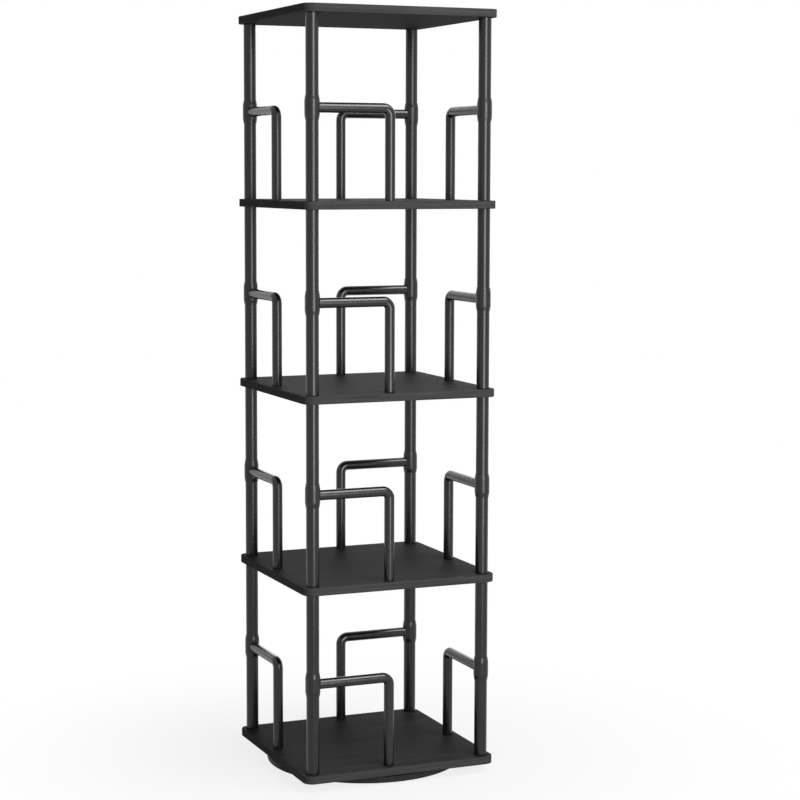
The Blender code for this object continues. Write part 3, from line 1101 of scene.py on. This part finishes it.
@dataclass
class GuardSet:
    """The bent guards and the moulded collars that hold them to the posts.

    Args:
        plan: sizes and places of the case.
        finishes: the materials.
        wall: wall of a guard's tube.
        inner_bend: radius of the bend on its inner side.
        screw_hole: diameter of the hole in a guard's foot.
        guard_easing: rounding of a guard's rims.
        collar_wall: thickness of a collar at its middle.
        tip_wall: thickness of a collar at its ends.
        taper: height of the tapered stretch at each end.
        taper_steps: faces along that stretch.
        stub_length: how far the stub goes into the guard.
        collar_easing: rounding of a collar's rims.
        sides: faces round a guard.
        bend_steps: faces along the bend.
    """

    plan: Plan
    finishes: Finishes
    wall: float = 0.0012
    inner_bend: float = 0.004
    screw_hole: float = 0.0045
    guard_easing: float = 0.0003
    collar_wall: float = 0.0018
    tip_wall: float = 0.0005
    taper: float = 0.010
    taper_steps: int = 8
    stub_length: float = 0.020
    collar_easing: float = 0.0002
    sides: int = 56
    bend_steps: int = 16

    @property
    def sleeve_radius(self) -> float:
        """Outer radius of a collar at its middle."""
        return self.plan.post_radius + FIT_GAP + self.collar_wall

    def bent_tube(self) -> Piece:
        """Draws a circle along the rail, spins it round the bend and draws it down to the foot.

        Returns:
            The hollow tube from the post's axis to its closed foot, with its post at the origin.
        """
        radius = self.plan.guard_radius
        bend = radius + self.inner_bend
        straight = self.plan.guard_reach - bend
        level = self.plan.rail_height
        Bench.clear()
        bpy.ops.mesh.primitive_circle_add(
            vertices=self.sides,
            radius=radius,
            fill_type="NOTHING",
            location=(0, 0, level),
            rotation=(0, math.pi / 2, 0),
        )
        tube = Bench.settle(bpy.context.active_object, "guard_pattern")
        with Bench.editing(tube):
            bpy.ops.mesh.select_mode(type="EDGE")
            bpy.ops.mesh.extrude_region_move(TRANSFORM_OT_translate={"value": (straight, 0, 0)})
            bpy.ops.mesh.spin(
                steps=self.bend_steps,
                angle=math.pi / 2,
                center=(straight, 0, level - bend),
                axis=(0, -1, 0),
            )
            fall = FIT_GAP + bend - level
            bpy.ops.mesh.extrude_region_move(TRANSFORM_OT_translate={"value": (0, 0, fall)})
            bpy.ops.mesh.edge_face_add()
            Bench.seal()
        Bench.apply(tube, "SOLIDIFY", thickness=self.wall, offset=-1, use_even_offset=True, use_rim=True)
        return tube

    def guard_pattern(self) -> Piece:
        """Models a guard whose post stands at the origin and whose board is at height 0.

        Returns:
            The finished guard, coped to seat on its collar and drilled for its foot screw.
        """
        plan = self.plan
        guard = self.bent_tube()
        length = 4 * plan.guard_radius
        cope_radius = self.sleeve_radius + FIT_GAP
        cope = Bench.rod("collar_cope", 2 * self.sides, cope_radius, length, (0, 0, plan.rail_height))
        Bench.carve(guard, cope)
        foot = (plan.guard_reach, 0, 0)
        drill = Bench.rod("foot_drill", self.sides, self.screw_hole / 2, 2 * plan.guard_radius, foot)
        Bench.carve(guard, drill)
        return Bench.soften(guard, self.guard_easing)

    def collar_outline(self) -> list[tuple[float, float]]:
        """Outer outline of a collar: a straight middle whose ends run down to the post in an easy curve.

        Returns:
            (radius, height) points from the top of the axis to its bottom.
        """
        tip = self.plan.post_radius + FIT_GAP + self.tip_wall
        half = self.plan.collar_height / 2
        curve: list[tuple[float, float]] = []
        for step in range(self.taper_steps + 1):
            along = step / self.taper_steps
            swell = along * along * (3 - 2 * along)
            curve.append((tip + (self.sleeve_radius - tip) * swell, half - self.taper * along))
        mirrored = [(radius, -height) for radius, height in reversed(curve)]
        return [(0, half), *curve, *mirrored, (0, -half)]

    def collar_pattern(self) -> Piece:
        """Models a collar round the Z axis, with its stub along +X.

        Returns:
            The finished collar.
        """
        collar = Bench.turn("collar_pattern", self.collar_outline(), self.sides, closed=False)
        reach = self.sleeve_radius + self.stub_length
        stub_radius = self.plan.guard_radius - self.wall - FIT_GAP
        stub = Bench.rod("stub", self.sides, stub_radius, reach, (reach / 2, 0, 0), lying=True)
        Bench.carve(collar, stub, "UNION")
        bore_radius = self.plan.post_radius + FIT_GAP
        Bench.carve(collar, Bench.rod("post_bore", self.sides, bore_radius, 2 * self.plan.collar_height))
        return Bench.soften(collar, self.collar_easing)

    def build(self) -> None:
        """Builds a guard and a collar for each side of every tier."""
        guard_pattern = self.guard_pattern()
        collar_pattern = self.collar_pattern()
        for tier in Tier:
            floor = self.plan.floors[tier.level]
            for quarter in Quarter:
                node = f"{tier.value}_guard_{quarter.side}"
                guard = Bench.copy(guard_pattern, f"{node}_rail", self.plan.at_post(quarter, floor))
                fit_piece(guard, Body.CAROUSEL, [node], [self.finishes.guard_paint])
                node = f"{tier.value}_collar_{quarter.corner}"
                place = self.plan.at_post(quarter, floor + self.plan.rail_height)
                collar = Bench.copy(collar_pattern, f"{node}_sleeve", place)
                fit_piece(collar, Body.CAROUSEL, [node], [self.finishes.collar_plastic])
        Bench.drop(guard_pattern, collar_pattern)


@dataclass
class Turntable:
    """The base disc, its rubber foot ring and the ball bearing between it and the bottom board.

    Args:
        finishes: the materials.
        pocket_radius: radius of the bearing's pocket in the disc.
        pocket_level: height of the pocket's floor.
        top_round: rounding of the disc's upper rim.
        bottom_round: rounding of its lower rim.
        rim_segments: faces across those roundings.
        rim_tolerance: how near to a rim's height and radius its points lie.
        foot_seat: height of the groove over the foot ring.
        foot_width: width of the foot ring.
        foot_easing: rounding of its edges.
        foot_segments: faces across that rounding.
        race_thickness: gauge of the pressed races.
        race_half_width: half the width of a race's ball track.
        race_easing: rounding of a race's edges.
        flange_wall: thickness of the lower race where it rises to its flange.
        lip_thickness: thickness of the upper race's skirt and lip.
        lip_play: gap between that skirt and the flange.
        lip_hook: how far the lip reaches under the flange.
        groove_depth: depth of a ball groove.
        groove_floor: width of a groove's floor.
        groove_mouth: width of its mouth.
        ball_circle: radius of the ring of balls.
        ball_count: balls in the cage.
        ball_segments: faces round a ball.
        ball_rings: faces from its top to its bottom.
        ball_crease: edges of the cage that turn by more than this stay crisp.
        cage_half_width: half the width of the cage's ring.
        cage_half_gauge: half the thickness of the cage.
        sides: faces round the disc and the races.
    """

    finishes: Finishes
    pocket_radius: float = 0.1016
    pocket_level: float = 0.0085
    top_round: float = 0.0015
    bottom_round: float = 0.003
    rim_segments: int = 6
    rim_tolerance: float = 1e-5
    foot_seat: float = 0.0043
    foot_width: float = 0.016
    foot_easing: float = 0.0008
    foot_segments: int = 3
    race_thickness: float = 0.0015
    race_half_width: float = 0.012
    race_easing: float = 0.00025
    flange_wall: float = 0.002
    lip_thickness: float = 0.0012
    lip_play: float = 0.0009
    lip_hook: float = 0.0025
    groove_depth: float = 0.0009
    groove_floor: float = 0.0024
    groove_mouth: float = 0.0052
    ball_circle: float = 0.078
    ball_count: int = 12
    ball_segments: int = 24
    ball_rings: int = 16
    ball_crease: float = math.radians(30)
    cage_half_width: float = 0.0035
    cage_half_gauge: float = 0.00045
    sides: int = 128

    def round_rim(self, piece: Piece, height: float, radius: float, width: float) -> None:
        """Rounds the outer rim of a turned piece at one height.

        Args:
            piece: the turned piece.
            height: height of the rim.
            radius: radius of the rim.
            width: width of the rounding.
        """

        def on_rim(end: Vector) -> bool:
            """Whether a point lies on the rim."""
            return max(abs(end.z - height), abs(end.xy.length - radius)) < self.rim_tolerance

        with Bench.editing(piece):
            Bench.pick_edges(piece, lambda a, b: on_rim(a) and on_rim(b))
            bpy.ops.mesh.bevel(offset=width, segments=self.rim_segments, affect="EDGES")

    @property
    def foot_inner(self) -> float:
        """Inner radius of the foot ring."""
        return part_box("foot_ring")[1].x - self.foot_width

    def disc(self) -> Piece:
        """Models the base disc with its pocket and its foot groove.

        Returns:
            The finished disc.
        """
        low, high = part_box("base_disc")
        radius = high.x
        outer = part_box("foot_ring")[1].x + FIT_GAP
        inner = self.foot_inner - FIT_GAP
        outline = [
            (0, self.pocket_level),
            (self.pocket_radius, self.pocket_level),
            (self.pocket_radius, high.z),
            (radius, high.z),
            (radius, low.z),
            (outer, low.z),
            (outer, self.foot_seat),
            (inner, self.foot_seat),
            (inner, low.z),
            (0, low.z),
        ]
        piece = Bench.turn("base_disc_lacquered", outline, self.sides, closed=False)
        self.round_rim(piece, high.z, radius, self.top_round)
        self.round_rim(piece, low.z, radius, self.bottom_round)
        Bench.smooth(piece)
        return piece

    def foot(self) -> Piece:
        """Models the rubber foot ring.

        Returns:
            The finished ring.
        """
        low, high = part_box("foot_ring")
        outline = [(high.x, high.z), (high.x, low.z), (self.foot_inner, low.z), (self.foot_inner, high.z)]
        ring = Bench.turn("foot_ring_rubber", outline, self.sides, closed=True)
        return Bench.soften(ring, self.foot_easing, self.foot_segments)

    def groove(self, level: float, depth: float) -> list[tuple[float, float]]:
        """Ball groove in a race's face.

        Args:
            level: height of the face.
            depth: height of the groove's floor over it, which is below 0 in the lower race.

        Returns:
            (radius, height) points from its outer side to its inner side.
        """
        mouth = self.groove_mouth / 2
        floor = self.groove_floor / 2
        return [
            (self.ball_circle + mouth, level),
            (self.ball_circle + floor, level + depth),
            (self.ball_circle - floor, level + depth),
            (self.ball_circle - mouth, level),
        ]

    def press_race(self, name: str, outline: Outline) -> Piece:
        """Turns a race from its outline and rounds its edges."""
        race = Bench.turn(name, outline, self.sides, closed=True)
        return Bench.soften(race, self.race_easing)

    def lower_race(self) -> Piece:
        """Models the race on the base disc, with its raised flange.

        Returns:
            The finished race.
        """
        low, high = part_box("lower_race")
        face = low.z + self.race_thickness
        rise = high.z - self.race_thickness
        inner = self.ball_circle - self.race_half_width
        step = self.ball_circle + self.race_half_width
        outline = [
            (inner, low.z),
            (step + self.flange_wall, low.z),
            (step + self.flange_wall, rise),
            (high.x, rise),
            (high.x, high.z),
            (step, high.z),
            (step, face),
            *self.groove(face, -self.groove_depth),
            (inner, face),
        ]
        return self.press_race("lower_race_pressed", outline)

    def upper_race(self) -> Piece:
        """Models the race under the bottom board, with the lip that hooks under the lower flange.

        Returns:
            The finished race.
        """
        low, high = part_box("upper_race")
        face = high.z - self.race_thickness
        inner = self.ball_circle - self.race_half_width
        skirt = high.x - self.lip_thickness
        lip = skirt - self.lip_play - self.lip_hook
        lip_top = low.z + self.lip_thickness
        outline = [
            (inner, high.z),
            (high.x, high.z),
            (high.x, low.z),
            (lip, low.z),
            (lip, lip_top),
            (skirt, lip_top),
            (skirt, face),
            *self.groove(face, self.groove_depth),
            (inner, face),
        ]
        return self.press_race("upper_race_pressed", outline)

    def ball_ring(self) -> Piece:
        """Models the cage with its balls.

        Returns:
            The finished ring.
        """
        low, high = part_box("ball_ring")
        level = (low.z + high.z) / 2
        top = level + self.cage_half_gauge
        bottom = level - self.cage_half_gauge
        inner = self.ball_circle - self.cage_half_width
        outer = self.ball_circle + self.cage_half_width
        outline = [(outer, top), (outer, bottom), (inner, bottom), (inner, top)]
        cage = Bench.turn("ball_ring_caged", outline, self.sides, closed=True)
        for ball in range(self.ball_count):
            angle = 2 * math.pi * ball / self.ball_count
            Bench.clear()
            bpy.ops.mesh.primitive_uv_sphere_add(
                segments=self.ball_segments,
                ring_count=self.ball_rings,
                radius=(high.z - low.z) / 2,
                location=(self.ball_circle * math.cos(angle), self.ball_circle * math.sin(angle), level),
            )
            Bench.carve(cage, Bench.settle(bpy.context.active_object, "ball"), "UNION")
        Bench.smooth(cage, self.ball_crease)
        return cage

    def build(self) -> None:
        """Builds the base and the bearing."""
        finishes = self.finishes
        fit_piece(self.disc(), Body.BASE, ["base_disc"], [finishes.base_lacquer])
        fit_piece(self.foot(), Body.BASE, ["foot_ring"], [finishes.foot_rubber])
        fit_piece(self.lower_race(), Body.BASE, ["lower_race"], [finishes.race_steel])
        fit_piece(self.ball_ring(), Body.BALL_RING, ["ball_ring"], [finishes.ball_steel])
        fit_piece(self.upper_race(), Body.CAROUSEL, ["upper_race"], [finishes.race_steel])


@dataclass(frozen=True)
class Softbox:
    """A rectangular studio lamp that faces the turning axis.

    Args:
        name: the lamp's name.
        azimuth: degrees round the case, where 0 is in front of it and 90 is on its right.
        distance: distance from the turning axis, on the floor.
        height: height of the lamp's centre.
        aim: height on the axis that it faces.
        width: width of its face.
        tall: height of its face.
        radiance: brightness of its face, where 1 is white paper.
    """

    name: str
    azimuth: float
    distance: float
    height: float
    aim: float
    width: float
    tall: float
    radiance: float

    def hang(self) -> None:
        """Adds the lamp to the scene."""
        angle = math.radians(self.azimuth)
        lamp = bpy.data.lights.new(self.name, "AREA")
        lamp.shape = "RECTANGLE"
        lamp.size = self.width
        lamp.size_y = self.tall
        lamp.energy = self.radiance * math.pi * self.width * self.tall
        holder = bpy.data.objects.new(self.name, lamp)
        holder.location = (self.distance * math.sin(angle), -self.distance * math.cos(angle), self.height)
        look = Vector((0, 0, self.aim)) - holder.location
        holder.rotation_euler = look.to_track_quat("-Z", "Y").to_euler()
        bpy.context.scene.collection.objects.link(holder)


@dataclass
class Studio:
    """White sweep, soft lamps and the camera.

    Args:
        lamps: the softboxes.
        ambient: brightness of the room's own light.
        floor_size: width of the floor.
        floor_cuts: cuts across the floor each way.
        floor_grey: how much light the floor sends back.
        shadow_radius: distance from the axis at which the floor has faded to plain white.
        shadow_white: share of plain white at the axis, where the shadow is deepest.
        eye: the camera's place.
        yaw: the camera's turn to the right of +Y, in radians.
        pitch: its tilt down, in radians.
        roll: its roll, in radians.
        focal_pixels: focal length in pixels of the picture.
        centre_pixels: where the lens axis meets the picture, from its top left corner.
        sensor_width: width of the camera's sensor, in millimetres.
        view_depth: how far the camera sees.
    """

    lamps: tuple[Softbox, ...] = (
        Softbox(
            "front_strip", azimuth=3, distance=2.8, height=1.1, aim=1.1, width=1.2, tall=2.2, radiance=8.6
        ),
        Softbox(
            "high_front", azimuth=37, distance=1.83, height=3.25, aim=1.0, width=1.6, tall=1.4, radiance=11.6
        ),
        Softbox(
            "back_panel", azimuth=160, distance=3.4, height=1.6, aim=1.6, width=4.0, tall=3.0, radiance=1.0
        ),
    )
    ambient: float = 0.14
    floor_size: float = 40.0
    floor_cuts: int = 4
    floor_grey: float = 0.6
    shadow_radius: float = 0.9
    shadow_white: float = 0.8
    eye: Vector = Vector((-1.49643, -3.68272, 1.14736))
    yaw: float = 0.39346
    pitch: float = 0.09819
    roll: float = 0.00185
    focal_pixels: float = 2063.26
    centre_pixels: tuple[float, float] = (380, 375)
    sensor_width: float = 36.0
    view_depth: float = 200.0

    def light(self) -> None:
        """Hangs the lamps and sets the room, which is white to the eye and in reflections."""
        for lamp in self.lamps:
            lamp.hang()
        world = bpy.data.worlds.new("white_room")
        wiring = Wiring(world)
        room = wiring.nodes["Background"]
        wiring.feed(room, {"Color": WHITE, "Strength": self.ambient})
        white = wiring.add("Background", {"Color": WHITE, "Strength": 1})
        shaders = (room.outputs["Background"], white.outputs["Background"])
        wiring.show_mix(wiring.seen_rays(), *shaders, "World Output")
        bpy.context.scene.world = world

    def floor_paint(self) -> Material:
        """Makes the floor's material.

        Returns:
            Matt paint that keeps the shadow near the case, and plain white further out.
        """
        material = bpy.data.materials.new("white_floor")
        wiring = Wiring(material)
        wiring.nodes.remove(wiring.nodes["Principled BSDF"])
        grey = self.floor_grey
        matt = wiring.add("BsdfDiffuse", {"Color": (grey, grey, grey, 1)})
        glow = wiring.add("Emission", {"Color": WHITE, "Strength": 1})
        place = wiring.add("TexCoord", {}).outputs["Object"]
        distance = wiring.add("VectorMath", {0: place}, operation="LENGTH").outputs["Value"]
        ends = {"From Min": 0, "From Max": self.shadow_radius, "To Min": self.shadow_white, "To Max": 1}
        fade = wiring.add("MapRange", {"Value": distance, **ends}, interpolation_type="SMOOTHSTEP")
        shown = {0: wiring.seen_rays(), 1: fade.outputs["Result"]}
        share = wiring.add("Math", shown, operation="MULTIPLY").outputs["Value"]
        wiring.show_mix(share, matt.outputs["BSDF"], glow.outputs["Emission"], "Material Output")
        return material

    def lay_floor(self) -> None:
        """Lays the floor just under the case."""
        Bench.clear()
        bpy.ops.mesh.primitive_plane_add(size=self.floor_size, location=(0, 0, -FIT_GAP))
        floor = Bench.settle(bpy.context.active_object, "studio_floor")
        with Bench.editing(floor):
            bpy.ops.mesh.subdivide(number_cuts=self.floor_cuts)
        floor.data.materials.append(self.floor_paint())

    def place_camera(self) -> None:
        """Places the camera at the photograph's viewpoint."""
        lens = bpy.data.cameras.new("viewpoint")
        lens.sensor_width = self.sensor_width
        lens.lens = self.focal_pixels * self.sensor_width / IMAGE_SIZE
        lens.shift_x = 0.5 - self.centre_pixels[0] / IMAGE_SIZE
        lens.shift_y = self.centre_pixels[1] / IMAGE_SIZE - 0.5
        lens.clip_end = self.view_depth
        camera = bpy.data.objects.new("viewpoint", lens)
        camera.location = self.eye
        camera.rotation_euler = (math.pi / 2 - self.pitch, -self.roll, -self.yaw)
        bpy.context.scene.collection.objects.link(camera)
        bpy.context.scene.camera = camera

    def build(self) -> None:
        """Sets up the studio."""
        self.light()
        self.lay_floor()
        self.place_camera()
        bpy.context.scene.view_settings.view_transform = "Standard"


def main() -> None:
    """Builds every sub-assembly, the studio and the camera, and reports each piece."""
    logging.basicConfig(level=logging.INFO, format="%(name)s: %(message)s")
    plan = Plan.read()
    finishes = Finishes.mix()
    Turntable(finishes).build()
    BoardStack(plan, finishes).build()
    PostSet(plan, finishes).build()
    GuardSet(plan, finishes).build()
    Studio().build()


if __name__ == "__main__":
    main()
